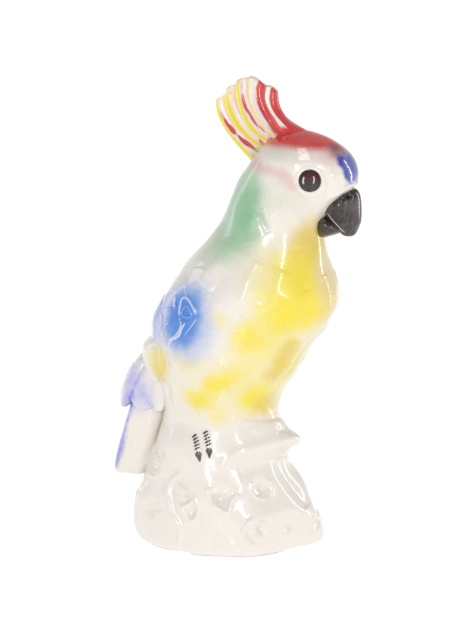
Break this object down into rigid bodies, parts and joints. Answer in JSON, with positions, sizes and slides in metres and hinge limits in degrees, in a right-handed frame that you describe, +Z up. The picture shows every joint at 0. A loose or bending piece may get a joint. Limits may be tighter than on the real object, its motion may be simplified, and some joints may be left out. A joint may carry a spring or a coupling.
{
  "type": "cockatoo figurine",
  "caption": "Glazed ceramic cockatoo with a raised crest, perched on a rock-shaped pedestal that stands free on a flat round-cornered foot; ornament for a shelf",
  "frame": {"origin": "the centre of the rock's flat underside, where the figurine meets the shelf", "axes": "+Z up, +X the way the bird faces (crest and beak lean towards it), +Y the bird's left"},
  "size_m": [0.1662, 0.096, 0.3015],
  "materials": {
    "ivory_glaze": "clear gloss glaze over a warm ivory body",
    "painted_glaze": "airbrushed yellow, green and blue under clear gloss glaze on a cream-white body",
    "head_glaze": "cream-white, with airbrushed red, blue, mauve and green, under clear gloss glaze",
    "blue_glaze": "airbrushed blue under clear gloss glaze",
    "lilac_glaze": "airbrushed lilac-blue under clear gloss glaze",
    "yellow_glaze": "yellow rims with brushed red streaks under clear gloss glaze",
    "red_glaze": "red with cream rims under clear gloss glaze",
    "dark_glaze": "brown-black brushwork under clear gloss glaze",
    "eye_glaze": "black with a dark red tint under clear gloss glaze"
  },
  "bodies": {
    "root": {"rock_base": "ivory_glaze", "torso": "painted_glaze", "head": "head_glaze", "right_wing": "blue_glaze", "left_wing": "blue_glaze", "tail_coverts": "lilac_glaze", "tail": "ivory_glaze", "crest_plume_1": "yellow_glaze", "crest_plume_2": "yellow_glaze", "crest_plume_3": "yellow_glaze", "crest_plume_4": "red_glaze", "crest_plume_5": "red_glaze", "upper_beak": "dark_glaze", "lower_beak": "dark_glaze", "right_eye": "eye_glaze", "left_eye": "eye_glaze", "right_foot": "dark_glaze", "left_foot": "dark_glaze"}
  },
  "joints": []
}
